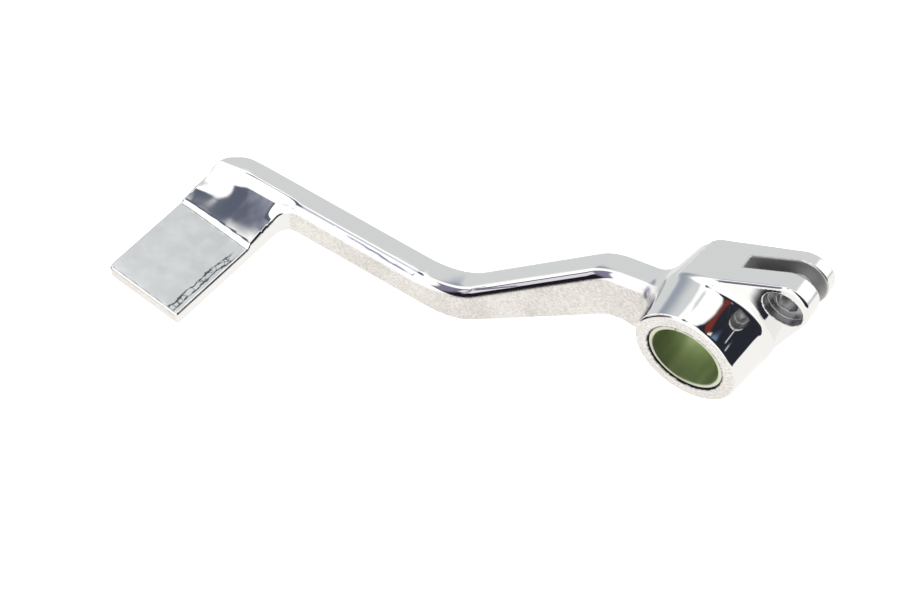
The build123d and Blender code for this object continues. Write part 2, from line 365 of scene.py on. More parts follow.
# %% [markdown]
# ## Slot and cross hole
# A pushrod fits in the slot and a pin in the cross hole, with the pin's head in the counterbore.
# Boolean cuts would leave sharp edges, so the slot and the hole are fields of their own. They are
# taken out of the lever with a small round, and later they tell the paint where a cutter went.

# %% Form the slot and the cross hole
PIN_X, PIN_Z, PIN_R = 20.765, 23.553, 3.3
PIN_ANGLE = math.atan2(PIN_Z, PIN_X)
COUNTERBORE_R, COUNTERBORE_Y = 6.4, 1.8
SLOT_Y, SLOT_HALF, SLOT_FLOOR = 8.35, 2.3, 19.75


def slot_field(x, y, z):
    """The slot: everything between its two walls and beyond its floor, which faces the hole."""
    floor = SLOT_FLOOR - (x * math.cos(PIN_ANGLE) + z * math.sin(PIN_ANGLE))
    return np.maximum(np.abs(y - SLOT_Y) - SLOT_HALF, floor)


def pin_field(x, y, z):
    """A round hole right through, and a wider one down to the counterbore's floor."""
    across = np.hypot(x - PIN_X, z - PIN_Z)
    return np.minimum(across - PIN_R, np.maximum(across - COUNTERBORE_R, y - COUNTERBORE_Y))


print("cross hole", round(math.hypot(PIN_X, PIN_Z), 2), "mm from the pivot axis")

# %% [markdown]
# ## The whole lever
# Arm and hub meet in a wide fillet at the neck, barrel and clevis in a narrower one; the foot
# simply goes on where the arm ends. The bore, slot and hole come last, because they were cut
# into the finished forging, and their edges are only lightly broken.

# %% Join the lever
NECK_FILLET, CLEVIS_FILLET = 3.5, 2.2
BORE_EDGE, SLOT_EDGE, PIN_EDGE = 0.45, 0.5, 0.3


def lever_field(x, y, z):
    """The whole lever: parts joined with fillets, then bore, slot and cross hole taken out."""
    body = round_min(barrel_field(x, y, z), arm_field(x, y, z), NECK_FILLET)
    body = np.minimum(body, foot_field(x, y, z))
    body = round_min(body, clevis_field(x, y, z), CLEVIS_FILLET)
    body = round_max(body, y - HUB_HALF, SOFT_EDGE)
    body = round_max(body, BORE_R - np.hypot(x, z), BORE_EDGE)
    body = round_max(body, -slot_field(x, y, z), SLOT_EDGE)
    return round_max(body, -pin_field(x, y, z), PIN_EDGE)


test_points = np.array([[15.0, 0.0], [0.0, 0.0], [0.0, 0.0]])
print("in the hub's wall and in its bore:", np.round(lever_field(*test_points), 2), "mm")

# %% [markdown]
# ## From formula to mesh
# A formula has no points, so a net of points has to find its skin. Marching cubes could cut one
# out of space, which leaves slivers that a mirror shows. Instead points near the skin slide along
# the field's slope until the formula says zero, and they carry their quads along.

# %% Slide points to the skin
MM = 0.001
SLOPE_STEP = 0.01
LEAST_SLOPE, LONGEST_MOVE = 0.2, 0.4


def field_slope(points, step):
    """Field value at each point, and its slope from a pair of points either side on each axis."""
    slope = np.empty_like(points)
    for axis in range(3):
        shift = np.zeros(3)
        shift[axis] = step
        ahead, behind = (points + shift).T, (points - shift).T
        slope[:, axis] = (lever_field(*ahead) - lever_field(*behind)) / (2 * step)
    return lever_field(*points.T), slope


def onto_skin(points, turns):
    """Newton steps to the zero of the field: value over slope, along the slope, none too long."""
    for _ in range(turns):
        value, slope = field_slope(points, SLOPE_STEP)
        size = np.maximum((slope * slope).sum(axis=1), LEAST_SLOPE)
        step = np.clip(value / size, -LONGEST_MOVE, LONGEST_MOVE)
        points = points - step[:, None] * slope
    return points


print("a point in the bore slides to radius", round(float(onto_skin(
    np.array([[12.2, -5.0, 0.0]]), 5)[0, 0]), 2), "mm")

# %% [markdown]
# ## An even net
# The CAD mesh has long thin triangles where a face is flat and none in its middle. A copy of it is
# merged and then remeshed: small cubes are laid over the solid, and their skin is a net of even
# quads. It has steps like a staircase, which don't matter, because every point will slide.

# %% Make an even net over the CAD node
NET_SIZE = 0.52
WELD_DISTANCE = 1e-6


def values_of(items, name, width, kind):
    """One property of all items of a mesh as rows of an array."""
    values = np.empty(len(items) * width, kind)
    items.foreach_get(name, values)
    return values.reshape(-1, width)


def remeshed_copy(node, net_size):
    """Points, in millimetres, quads and edges of an even net over a CAD node."""
    mesh = node.data.copy()
    copy = bpy.data.objects.new("net", mesh)
    bpy.context.scene.collection.objects.link(copy)
    weld = copy.modifiers.new("weld", "WELD")
    weld.merge_threshold = WELD_DISTANCE
    net = copy.modifiers.new("net", "REMESH")
    net.mode = "VOXEL"
    net.voxel_size = net_size * MM
    seen = copy.evaluated_get(bpy.context.evaluated_depsgraph_get())
    even = bpy.data.meshes.new_from_object(seen)
    bpy.data.objects.remove(copy)
    bpy.data.meshes.remove(mesh)
    points = values_of(even.vertices, "co", 3, float) / MM
    quads = values_of(even.loops, "vertex_index", 1, np.int32).reshape(-1, 4)
    edges = values_of(even.edges, "vertices", 2, np.int32)
    assert len(quads) == len(even.polygons)
    bpy.data.meshes.remove(even)
    return points, quads, edges


lever_points, lever_quads, lever_edges = remeshed_copy(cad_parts["pedal_lever"], NET_SIZE)
print("lever points", len(lever_points), "quads", len(lever_quads))

# %% [markdown]
# ## Even out the net
# Sliding alone bunches the points at tight corners. So they are also drawn towards their
# neighbours between slides, and the last slides put them back on the skin. The slope itself
# gives exact normals, so the mirror looks smooth although the net is only half a millimetre fine.

# %% Fit the net to the lever
NORMAL_STEP = 0.04
FIRST_TURNS, ROUNDS, ROUND_TURNS, LAST_TURNS, EVENING = 5, 3, 2, 3, 0.5


def relaxed(points, edges, share):
    """Moves each point a share of the way to the mean of its neighbours."""
    total = np.zeros_like(points)
    count = np.zeros(len(points))
    for here, there in ((0, 1), (1, 0)):
        for axis in range(3):
            far_ends = points[edges[:, there], axis]
            total[:, axis] += np.bincount(edges[:, here], far_ends, len(points))
        count += np.bincount(edges[:, here], minlength=len(points))
    return points + share * (total / count[:, None] - points)


lever_points = onto_skin(lever_points, FIRST_TURNS)
for _ in range(ROUNDS):
    lever_points = onto_skin(relaxed(lever_points, lever_edges, EVENING), ROUND_TURNS)
lever_points = onto_skin(lever_points, LAST_TURNS)
lever_off, lever_slope = field_slope(lever_points, NORMAL_STEP)
lever_normals = lever_slope / np.linalg.norm(lever_slope, axis=1)[:, None]
print("largest distance from the formula", round(float(np.abs(lever_off).max()), 4), "mm")

# %% [markdown]
# ## The lever's object
# Arm, hub, foot and clevis are one piece of metal, so they are one object. Changing the CAD node's
# own mesh would lose the exact solid, so a new object takes its place in the picture and rides on
# the pedal's one body.

# %% Make the lever's object
def new_piece(name, points, faces):
    """A finished object in metres at the origin, riding on the one body."""
    mesh = bpy.data.meshes.new(name)
    mesh.vertices.add(len(points))
    mesh.vertices.foreach_set("co", (points * MM).astype(np.float32).ravel())
    mesh.loops.add(faces.size)
    mesh.loops.foreach_set("vertex_index", faces.ravel())
    mesh.polygons.add(len(faces))
    starts = np.arange(0, faces.size, faces.shape[1], dtype=np.int32)
    mesh.polygons.foreach_set("loop_start", starts)
    mesh.update(calc_edges=True)
    mesh.validate()
    mesh.shade_smooth()
    piece = bpy.data.objects.new(name, mesh)
    bpy.context.scene.collection.objects.link(piece)
    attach(piece, "root")
    return piece


lever = new_piece("polished_lever", lever_points, lever_quads)
lever.data.normals_split_custom_set_from_vertices(lever_normals)
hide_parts("pedal_lever")
print(lever.name, "faces", len(lever.data.polygons))

# %% [markdown]
# ## The two bushes
# Each bush is a strip of steel with a green sliding layer, rolled into a ring until its ends
# nearly meet. A ring cut from a tube would miss the split, so a rounded rectangle is carried
# round the axis from one side of the split to the other.

# %% Carry a profile round the axis
BUSH_BORE, BUSH_OUTER, BUSH_EDGE = 11.0, 12.49, 0.35
SPLIT_TURN, SPLIT_GAP = math.radians(248.5), 0.35
CORNER_STEPS, RING_STEPS = 5, 241


def rounded_rectangle(low, high, width, edge, steps):
    """Points of a rectangle, radius low to high and y from 0 to width, with round corners."""
    turn = np.linspace(0, math.pi / 2, steps)
    inner, outer, back = low + edge, high - edge, width - edge
    corners = [(outer, back), (inner, back), (inner, edge), (outer, edge)]
    rows = []
    for quarter, (r, y) in enumerate(corners):
        angle = turn + quarter * math.pi / 2
        rows.append(np.stack([r + edge * np.cos(angle), y + edge * np.sin(angle)], axis=1))
    return np.concatenate(rows)


def rolled_ring(profile, start_y):
    """Rows of points: radius and y from the profile, angle along the strip."""
    half_gap = SPLIT_GAP / 2 / BUSH_OUTER
    angle = np.linspace(SPLIT_TURN + half_gap, SPLIT_TURN + 2 * math.pi - half_gap, RING_STEPS)
    radius, along = profile[:, 0], profile[:, 1] + start_y
    cos, sin = np.cos(angle)[:, None], np.sin(angle)[:, None]
    return np.stack([radius * cos, along + 0 * cos, -radius * sin], axis=2)


print("strip", round(2 * math.pi * BUSH_OUTER - SPLIT_GAP, 1), "mm long before it is rolled")

# %% [markdown]
# ## Roll and place
# The outboard bush shows in the photograph, and the hub is long enough for a second one from the
# other end. Both are the same part, so one function rolls them, as long as their CAD nodes say and
# in their place. The strip's two ends are open after rolling, and a flat face closes each.

# %% Roll the bushes
def close_ends(mesh, first, last):
    """Adds one flat face at each side of the split."""
    shape = bmesh.new()
    shape.from_mesh(mesh)
    shape.verts.ensure_lookup_table()
    for rim in (first, last):
        shape.faces.new([shape.verts[i] for i in rim])
    bmesh.ops.recalc_face_normals(shape, faces=shape.faces)
    shape.to_mesh(mesh)
    shape.free()


def roll_bush(name, node):
    """A rolled bush as long as its CAD node and in its place."""
    low, high = (np.array(corner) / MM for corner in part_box(node))
    profile = rounded_rectangle(BUSH_BORE, BUSH_OUTER, high[1] - low[1], BUSH_EDGE, CORNER_STEPS)
    ring = rolled_ring(profile, low[1])
    turns, count = ring.shape[:2]
    index = np.arange(turns * count).reshape(turns, count)
    ahead = np.roll(index, -1, axis=1)
    quads = np.stack([index[:-1], ahead[:-1], ahead[1:], index[1:]], axis=2).reshape(-1, 4)
    piece = new_piece(name, ring.reshape(-1, 3), quads[:, ::-1].copy())
    close_ends(piece.data, index[0], index[-1][::-1])
    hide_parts(node)
    print(name, "faces", len(piece.data.polygons))
    return piece


bushes = [roll_bush("outboard_lined_bush", "outboard_bush"),
          roll_bush("inboard_lined_bush", "inboard_bush")]

# %% [markdown]
# ## Shader sums as plain Python
# A material is a net of nodes, and the looks below need some hundreds of them. Clicked together
# or added line by line, a sum of ten values is ten nodes that nobody can read. So this small class
# wraps a socket, and each of Python's operators adds one Math node.

# %% Wrap a value in a net of nodes
class Value:
    """A number that varies over the surface. Python's operators add Math nodes to it."""

    def __init__(self, net, socket):
        self.net, self.socket = net, socket

    def math(self, operation, *inputs):
        return self.net.node("ShaderNodeMath", {"operation": operation}, dict(enumerate(inputs)))

    def __add__(self, other):
        return self.math("ADD", self, other)

    def __sub__(self, other):
        return self.math("SUBTRACT", self, other)

    def __rsub__(self, other):
        return self.math("SUBTRACT", other, self)

    def __mul__(self, other):
        return self.math("MULTIPLY", self, other)

    def __truediv__(self, other):
        return self.math("DIVIDE", self, other)

    def __gt__(self, other):
        return self.math("GREATER_THAN", self, other)

    __radd__, __rmul__ = __add__, __mul__

    def absolute(self):
        return self.math("ABSOLUTE", self)

    def step(self, low, high):
        """Rises smoothly from 0 at low to 1 at high."""
        inputs = {"Value": self, "From Min": low, "From Max": high}
        settings = {"interpolation_type": "SMOOTHSTEP"}
        return self.net.node("ShaderNodeMapRange", settings, inputs)

    def dot(self, direction):
        """How far a vector reaches along a direction."""
        settings = {"operation": "DOT_PRODUCT"}
        return self.net.node("ShaderNodeVectorMath", settings, {0: self, 1: direction}, "Value")

    def parts(self):
        """The x, y and z of a vector."""
        split = self.net.node("ShaderNodeSeparateXYZ", None, {0: self}).socket.node
        return [Value(self.net, output) for output in split.outputs]


print("operators:", [name for name in ("add", "sub", "rsub", "mul", "truediv", "gt")
                     if hasattr(Value, f"__{name}__")])

# %% [markdown]
# ## Nodes from one method
# Every other node comes from one method, which sets its choices first, because they decide which
# sockets the node has. Nodes could be placed by hand in the editor, but then nobody could read
# here what they do.

# %% Add nodes to a tree
class Net:
    """Adds nodes to one tree."""

    def __init__(self, tree):
        self.tree = tree
        tree.nodes.clear()

    def node(self, kind, settings=None, inputs=None, output=0):
        """Adds a node: first its settings, then each socket's value or link. Gives one output."""
        made = self.tree.nodes.new(kind)
        for name, setting in (settings or {}).items():
            setattr(made, name, setting)
        for key, value in (inputs or {}).items():
            if isinstance(value, Value):
                self.tree.links.new(value.socket, made.inputs[key])
            else:
                made.inputs[key].default_value = value
        return Value(self, made.outputs[output])

    def mix(self, share, first, second):
        """A colour that goes from first to second as share goes from 0 to 1."""
        first, second = ((*c, 1.0) if isinstance(c, tuple) else c for c in (first, second))
        return self.node("ShaderNodeMix", {"data_type": "RGBA"}, {0: share, 6: first, 7: second}, 2)

    def finish(self, kind, shader):
        """Links a shader to the tree's output."""
        out = self.tree.nodes.new(kind)
        self.tree.links.new(shader.socket, out.inputs["Surface"])
        print(kind, "fed by", len(self.tree.nodes) - 1, "nodes")


world = bpy.data.worlds.new("studio")
world.use_nodes = True
net = Net(world.node_tree)
print("the world starts with", len(world.node_tree.nodes), "nodes")

# %% [markdown]
# ## The studio
# Polished metal has no colour of its own: it shows what stands around it. The photograph's
# metal mirrors a white ceiling light, a grey wall behind, a bright panel in front, a white table,
# a dim patch overhead, and a dark room to the right with a few coloured things in it.
# Lamps and boxes could stand around the pedal, but a world painted by direction is simpler to
# tune: each thing is a span of azimuth and of height, where height is the sine of elevation.

# %% Tools to paint by direction
LEAST_DEPTH = 0.05
way = net.node("ShaderNodeTexCoord", output="Generated")
east, north, height = way.parts()


def compass(azimuth, elevation=0.0):
    """A unit direction: azimuth turns from +Y towards +X, both in degrees."""
    a, e = math.radians(azimuth), math.radians(elevation)
    return (math.sin(a) * math.cos(e), math.cos(a) * math.cos(e), math.sin(e))


def between(first, last, soft):
    """1 between two azimuths less than a half turn apart, going from first up to last."""
    after = way.dot(compass(first + 90)).step(-soft, soft)
    before = way.dot(compass(last - 90)).step(-soft, soft)
    return after * before


def panel(azimuth, elevation, wide, high, soft):
    """1 inside a rectangle: half width and half height are tangents of angles."""
    ahead = Vector(compass(azimuth, elevation))
    aside = Vector(compass(azimuth + 90))
    above = aside.cross(ahead)
    depth = way.dot(tuple(ahead))
    across = (way.dot(tuple(aside)) / depth).absolute()
    upward = (way.dot(tuple(above)) / depth).absolute()
    inside = 1 - across.step(wide - soft, wide + soft)
    inside = inside * (1 - upward.step(high - soft, high + soft))
    return inside * (depth > LEAST_DEPTH)


print("azimuth 45, elevation 30:", [round(v, 2) for v in compass(45, 30)])

# %% [markdown]
# ## Wall and lights
# The grey on every top face is the wall behind the pedal. White lights stand above, to the
# left, to the right and in front: their edges are the borders between grey and white that run
# along the arm's rounds. Area lamps would leave black gaps between them in the mirror, while a
# painted sky has none. The lights are a little brighter than white, as lamps are.

# %% Paint the wall and the lights
WALL, LOW_WALL, BRIGHT = (0.69, 0.705, 0.71), (0.84, 0.84, 0.83), (1.2, 1.2, 1.18)
WALL_EDGE, CEILING_EDGE = (-0.55, -0.4), (0.835, 0.87)
LEFT_LIGHT, LEFT_LIGHT_EDGE = (-90, -51, 0.03), (0.70, 0.77)
RIGHT_LIGHT_EDGE, RIGHT_LIGHT_FOOT = (0.05, 0.25), (-0.1, 0.1)
FRONT_EDGE, FRONT_FOOT = (0.16, 0.26), (-0.28, -0.22)

colour = net.mix(height.step(*WALL_EDGE), LOW_WALL, WALL)
lights = {
    "ceiling": height.step(*CEILING_EDGE),
    "left": between(*LEFT_LIGHT) * height.step(*LEFT_LIGHT_EDGE),
    "right": east.step(*RIGHT_LIGHT_EDGE) * height.step(*RIGHT_LIGHT_FOOT),
    "front": (1 - north.step(*FRONT_EDGE)) * height.step(*FRONT_FOOT),
}
for light in lights.values():
    colour = net.mix(light, colour, BRIGHT)
print("lights", list(lights))

# %% [markdown]
# ## The patch overhead
# A dim patch in the ceiling light, with a thin violet line beside it, makes the dark streaks
# along the arm's upper round. A card hung over the pedal would move from face to face in the
# mirror; as a patch of sky it stays in the one direction that was measured. It gets paler to the
# east, where the photograph's streaks fade out.

# %% Paint the patch overhead
DIM, PALE, VIOLET = (0.11, 0.125, 0.175), (0.62, 0.62, 0.72), (0.16, 0.16, 0.36)
PATCH, PATCH_EDGE, PATCH_END = (-106, -63, 0.025), (0.838, 0.852), (-0.34, -0.32)
PATCH_FADE = (-0.43, -0.38)
LINE_LEAN, LINE_EAST, LINE_NORTH = 12.0, 0.361, 0.53
LINE_EDGE, LINE_START, LINE_END = (0.07, 0.14), (-0.374, -0.364), (-0.34, -0.33)
LINE_FOOT = 0.5

patch = between(*PATCH) * height.step(*PATCH_EDGE) * (1 - east.step(*PATCH_END))
colour = net.mix(patch, colour, net.mix(east.step(*PATCH_FADE), DIM, PALE))
line = (north + LINE_LEAN * (east + LINE_EAST) + LINE_NORTH).absolute()
line = (1 - line.step(*LINE_EDGE)) * east.step(*LINE_START) * (height > LINE_FOOT)
line = line * (1 - east.step(*LINE_END))
colour = net.mix(line, colour, VIOLET)
print("patch overhead from", PATCH[0], "to", PATCH[1], "degrees")

# %% [markdown]
# ## The dark room and the table
# To the right of the camera the room is dark, which gives the black window on the barrel.
# Its edge leans, so the window is cut at a slant. Below is the white table. A dark box and a real
# table top would mirror the same, but they would also shade the pedal.

# %% Paint the room and the table
ROOM, TABLE = (0.022, 0.024, 0.034), (1.0, 0.98, 0.95)
ROOM_AZIMUTH, ROOM_LEAN, ROOM_LEAN_SPAN, ROOM_EDGE = 148, 0.2, (0.5, 0.92), (-0.04, 0.02)
ROOM_GAP, TABLE_GAP, TABLE_EDGE = (140, -60, 0.1), (-72, -10, 0.06), (-0.2, -0.17)

above = height.step(*TABLE_EDGE)
room_side = way.dot(compass(ROOM_AZIMUTH)) + ROOM_LEAN * height.step(*ROOM_LEAN_SPAN)
room = room_side.step(*ROOM_EDGE) * above * (1 - between(*ROOM_GAP))
colour = net.mix(room, colour, ROOM)
colour = net.mix((1 - above) * (1 - between(*TABLE_GAP)), colour, TABLE)
print("dark room around azimuth", ROOM_AZIMUTH)

# %% [markdown]
# ## Haze, curtain and slit
# A bluish haze is mirrored beside the neck. A dark curtain stands low on the left, violet
# towards its top, with a slit of light: it draws the black line under the arm's round.
# Each is a span of azimuth between two heights, so one function paints all three.

# %% Paint the haze, the curtain and the slit
CURTAIN_LOW, CURTAIN_HIGH = (0.012, 0.010, 0.015), (0.24, 0.21, 0.30)
HAZE, SLIT = (0.34, 0.375, 0.44), (0.8, 0.75, 0.85)
CURTAIN_FADE = (-0.1, 0.18)
HAZE_PLACE = (-78, -62, 0.05), (-0.04, 0.15), (0.2, 0.68)
CURTAIN_PLACE = (-141, -97, 0.02), (-0.68, -0.60), (0.64, 0.76), 0.5
SLIT_PLACE = (-118, -102, 0.02), (-0.4, -0.3), (0.0, 0.1)


def low_patch(span, foot, top, slant=0.0):
    """1 inside a span of azimuth between two heights; the upper one may slant northwards."""
    upper = height - slant * north if slant else height
    return between(*span) * height.step(*foot) * (1 - upper.step(*top))


curtain_colour = net.mix(height.step(*CURTAIN_FADE), CURTAIN_LOW, CURTAIN_HIGH)
colour = net.mix(low_patch(*HAZE_PLACE), colour, HAZE)
colour = net.mix(low_patch(*CURTAIN_PLACE), colour, curtain_colour)
colour = net.mix(low_patch(*SLIT_PLACE), colour, SLIT)
print("curtain from", CURTAIN_PLACE[0][0], "to", CURTAIN_PLACE[0][1], "degrees")

# %% [markdown]
# ## Things in the dark room
# In the barrel's black window the photograph shows a red stripe, a pale edge, a blue glow and two
# thin lights. Modelled things would show there only a few pixels wide, so each is a soft
# rectangle in the world, placed where its reflection has to be.

# %% Paint the things and finish the world
def white_for_camera(net, other, white):
    """A shader that is white for the camera's own rays and other for every reflection."""
    seen = net.node("ShaderNodeLightPath", output="Is Camera Ray")
    return net.node("ShaderNodeMixShader", None, {0: seen, 1: other, 2: white})


THINGS = [  # azimuth, elevation, half width, half height, softness, colour
    (45, 66, 0.10, 0.07, 0.03, (0.20, 0.035, 0.025)),
    (62, 62, 0.03, 0.06, 0.02, (0.9, 0.88, 0.88)),
    (68, 52, 0.05, 0.09, 0.06, (0.16, 0.25, 0.36)),
    (72, 22, 0.05, 0.022, 0.015, (0.45, 0.5, 0.6)),
    (66, 30, 0.04, 0.012, 0.01, (0.9, 0.9, 0.95)),
]
for *rectangle, thing in THINGS:
    colour = net.mix(panel(*rectangle), colour, thing)
studio = net.node("ShaderNodeBackground", None, {"Color": colour, "Strength": 1.0})
white = net.node("ShaderNodeBackground", None, {"Color": (1, 1, 1, 1), "Strength": 1.0})
net.finish("ShaderNodeOutputWorld", white_for_camera(net, studio, white))
bpy.context.scene.world = world

# %% [markdown]
# ## The floor
# The photograph's pedal lies cut out on white with only a hint of a shadow. A plain diffuse floor
# would look grey, so this one also glows. Mirrors look through it to the painted table.

# %% Lay the floor
FLOOR_REACH, FLOOR_GREY, FLOOR_GLOW = 3.0, (0.8, 0.8, 0.8, 1), 0.9


def new_look(name):
    """A new material and the net of its nodes."""
    material = bpy.data.materials.new(name)
    material.use_nodes = True
    return material, Net(material.node_tree)


floor_corners = [(x * FLOOR_REACH, y * FLOOR_REACH, cad_box[0].z)
                 for x, y in ((-1, -1), (1, -1), (1, 1), (-1, 1))]
floor_mesh = bpy.data.meshes.new("floor")
floor_mesh.from_pydata(floor_corners, [], [(0, 1, 2, 3)])
floor = bpy.data.objects.new("floor", floor_mesh)
bpy.context.scene.collection.objects.link(floor)
floor_look, net = new_look("white_table")
lit = net.node("ShaderNodeBsdfDiffuse", None, {"Color": FLOOR_GREY})
glow = net.node("ShaderNodeEmission", None, {"Color": (1, 1, 1, 1), "Strength": FLOOR_GLOW})
paper = net.node("ShaderNodeAddShader", None, {0: lit, 1: glow})
clear = net.node("ShaderNodeBsdfTransparent")
net.finish("ShaderNodeOutputMaterial", white_for_camera(net, clear, paper))
floor_mesh.materials.append(floor_look)

# %% [markdown]
# ## Where each finish is
# The lever was buffed on top and along its rounds, but its outer side faces keep the fine lines
# of the belt. The foot plate is satin. The slot and cross hole have the cutter's dull finish, with
# a dark grey painted in as their shade, and the bore's lip is painted near black as the shade of
# the gap. The wheel couldn't reach the corner at the neck. Each area could be a material of its
# own, but then its border would be hard: here each point keeps a number, which the one material
# reads.

# %% Store the lever's masks
def store(mesh, name, values):
    """Keeps one number for each point of a mesh, which a material can read by name."""
    attribute = mesh.attributes.new(name, "FLOAT", "POINT")
    attribute.data.foreach_set("value", values.astype(np.float32))


FACING_OUT, FACING_UP = (0.86, 0.985), (0.9, 0.99)
HUB_START, ARM_SIDE, RIM_SIDE, RIM_SHARE = (-22, -15), (-12, -8), (-16.4, -15.6), 0.7
NECK_X, NECK_Z, NECK_STRETCH, NECK_FADE = -18.5, 1.0, 2.0, (3.0, 6.5)
NECK_INBOARD, NECK_OUTBOARD = (-3.4, -2.2), (-16.0, -15.0)
PLATE_DEPTH = (62.3, 62.9)
SLOT_FADE, PIN_FADE, SLOT_SHARE = (0.05, 0.4), (0.03, 0.25), 0.65
CREVICE_R, CREVICE_END = (12.72, 12.95), (15.0, 15.6)

px, py, pz = lever_points.T
facing_out = rise(-lever_normals[:, 1], *FACING_OUT)
on_arm = (1 - rise(px, *HUB_START)) * rise(py, *ARM_SIDE)
on_rim = 1 - rise(py, *RIM_SIDE)
neck_spot = 1 - rise(np.hypot(px - NECK_X, (pz - NECK_Z) / NECK_STRETCH), *NECK_FADE)
near_slot = 1 - rise(slot_field(px, py, pz), *SLOT_FADE)
near_pin = 1 - rise(pin_field(px, py, pz), *PIN_FADE)
lever_masks = {
    "brushed": facing_out * np.maximum(on_arm, RIM_SHARE * on_rim),
    "dull": neck_spot * (1 - rise(py, *NECK_INBOARD)) * rise(py, *NECK_OUTBOARD),
    "satin": rise(-pz, *PLATE_DEPTH) * rise(lever_normals[:, 2], *FACING_UP),
    # Painted shade: the slot and cross hole get a grey darker than cut metal has.
    "machined_and_shaded": np.maximum(SLOT_SHARE * near_slot, near_pin),
    "sawn": near_slot,
    # Painted shade: the bore's lip next to the bush is painted near black.
    "painted_gap_shade": (1 - rise(np.hypot(px, pz), *CREVICE_R)) * rise(np.abs(py), *CREVICE_END),
}
for name, values in lever_masks.items():
    store(lever.data, name, values)
    print(name, "on", int((values > 0.5).sum()), "points")

# %% [markdown]
# ## The lever's metal
# All of it is bare aluminium, so most colours are those of the metal under different polish:
# near white where buffed, streaky grey along the belt's lines, even and cool on the plate.
# The dark grey in the slot and cross hole and the near black at the bore's lip are painted shade.
# Noise stretched along the arm makes the belt's grain; a rounder one makes the plate's mottle.

# %% Mix the lever's colours
# The second colour is the cutter's grey, darker than cut metal, as painted shade; the third is near
# black.
BUFFED, CUT_AND_SHADE, NEAR_BLACK = (0.905, 0.905, 0.90), (0.42, 0.42, 0.43), (0.012, 0.012, 0.010)
BELT_LIGHT, BELT_DARK = (0.95, 0.93, 0.905), (0.62, 0.59, 0.565)
SATIN_LIGHT, SATIN_DARK = (0.86, 0.875, 0.885), (0.76, 0.77, 0.775)
GRAIN_STRETCH, GRAIN_SHARE = (0.35, 1.0, 1.0), 0.75
GRAIN_SCALE, CLOUD_SCALE, MOTTLE_SCALE = 2600.0, 55.0, 140.0
BELT_EDGE, MOTTLE_EDGE = (0.36, 0.62), (0.3, 0.7)


def mask(net, name):
    """A number that store() has kept for each point."""
    return net.node("ShaderNodeAttribute", {"attribute_name": name}, None, "Fac")


def noise(where, scale, detail=3.0, roughness=0.55, stretch=(1.0, 1.0, 1.0)):
    """A noise between 0 and 1 in metres; stretch gives its scale along x, y and z."""
    spot = where.net.node("ShaderNodeMapping", None, {"Vector": where, "Scale": stretch})
    inputs = {"Vector": spot, "Scale": scale, "Detail": detail, "Roughness": roughness}
    return where.net.node("ShaderNodeTexNoise", None, inputs)


lever_look, net = new_look("polished_aluminium")
place = net.node("ShaderNodeTexCoord", output="Object")
areas = {name: mask(net, name) for name in lever_masks}
grain = noise(place, GRAIN_SCALE, 2.0, 0.7, GRAIN_STRETCH)
cloud = noise(place, CLOUD_SCALE)
belt_mix = (GRAIN_SHARE * grain + (1 - GRAIN_SHARE) * cloud).step(*BELT_EDGE)
mottle = noise(place, MOTTLE_SCALE, 4.0).step(*MOTTLE_EDGE)
colour = net.mix(areas["brushed"], BUFFED, net.mix(belt_mix, BELT_DARK, BELT_LIGHT))
colour = net.mix(areas["satin"], colour, net.mix(mottle, SATIN_DARK, SATIN_LIGHT))
# Painted shade: the slot and cross hole are darkened to the cutter's grey.
colour = net.mix(areas["machined_and_shaded"], colour, CUT_AND_SHADE)
# Painted shade: the bore's lip turns near black, where the gap beside the bush is dark.
colour = net.mix(areas["painted_gap_shade"], colour, NEAR_BLACK)
print("grain", round(1000 / GRAIN_SCALE, 2), "mm fine")

# %% [markdown]
# ## The tide mark
# A line of dried polish runs along the foot plate: two thin wavy rims with cells between them,
# like dried foam. A picture of it could be laid on the plate, but it is drawn from sums instead:
# the distance across the plate gives the rims, a noise bends them, and a cell pattern links them.

# %% Draw the tide mark
TIDE_MIDDLE, TIDE_HALF, TIDE_WANDER = 0.0124, 0.0010, 0.0022
TIDE_DRIFT, DRIFT_SPAN = 0.0012, (0.018, 0.032)
TIDE_START, TIDE_END = (0.019, 0.024), (0.0495, 0.0505)
RIM_EDGE, LINK_EDGE, LINK_END, LINK_STRENGTH = (0.00018, 0.00042), (0.02, 0.06), 0.0001, 0.8
CELL_SCALE, CELL_RANDOMNESS = 330.0, 0.9
FADE_SCALE, FADE_EDGE, FADE_LEAST = 600.0, (0.3, 0.5), 0.45
STAIN, STAIN_STRENGTH = (0.06, 0.07, 0.08), 0.95

place_x, place_y, _ = place.parts()
from_root, from_arm = place_x - PLATE_ROOT_X * MM, place_y - ARM_OUT * MM
skew_cos, skew_sin = math.cos(PLATE_SKEW), math.sin(PLATE_SKEW)
across = from_root * skew_cos - from_arm * skew_sin
outboard = from_root * -skew_sin - from_arm * skew_cos
wander = noise(place, CELL_SCALE, 2.0) - 0.5
cells = net.node("ShaderNodeTexVoronoi", {"feature": "DISTANCE_TO_EDGE"},
                 {"Vector": place, "Scale": CELL_SCALE, "Randomness": CELL_RANDOMNESS})
drift = (1 - outboard.step(*DRIFT_SPAN)) * TIDE_DRIFT
offset = (across - TIDE_MIDDLE - drift + wander * TIDE_WANDER).absolute()
rims = 1 - (offset - TIDE_HALF).absolute().step(*RIM_EDGE)
links = LINK_STRENGTH * (1 - cells.step(*LINK_EDGE))
links = links * (1 - offset.step(TIDE_HALF, TIDE_HALF + LINK_END))
reach = outboard.step(*TIDE_START) * (1 - outboard.step(*TIDE_END))
fading = FADE_LEAST + (1 - FADE_LEAST) * noise(place, FADE_SCALE, 1.0).step(*FADE_EDGE)
areas["tide"] = areas["satin"] * reach * (rims + links - rims * links) * fading
colour = net.mix(STAIN_STRENGTH * areas["tide"], colour, STAIN)
print("tide mark", round(2000 * TIDE_HALF, 1), "mm wide between its rims")

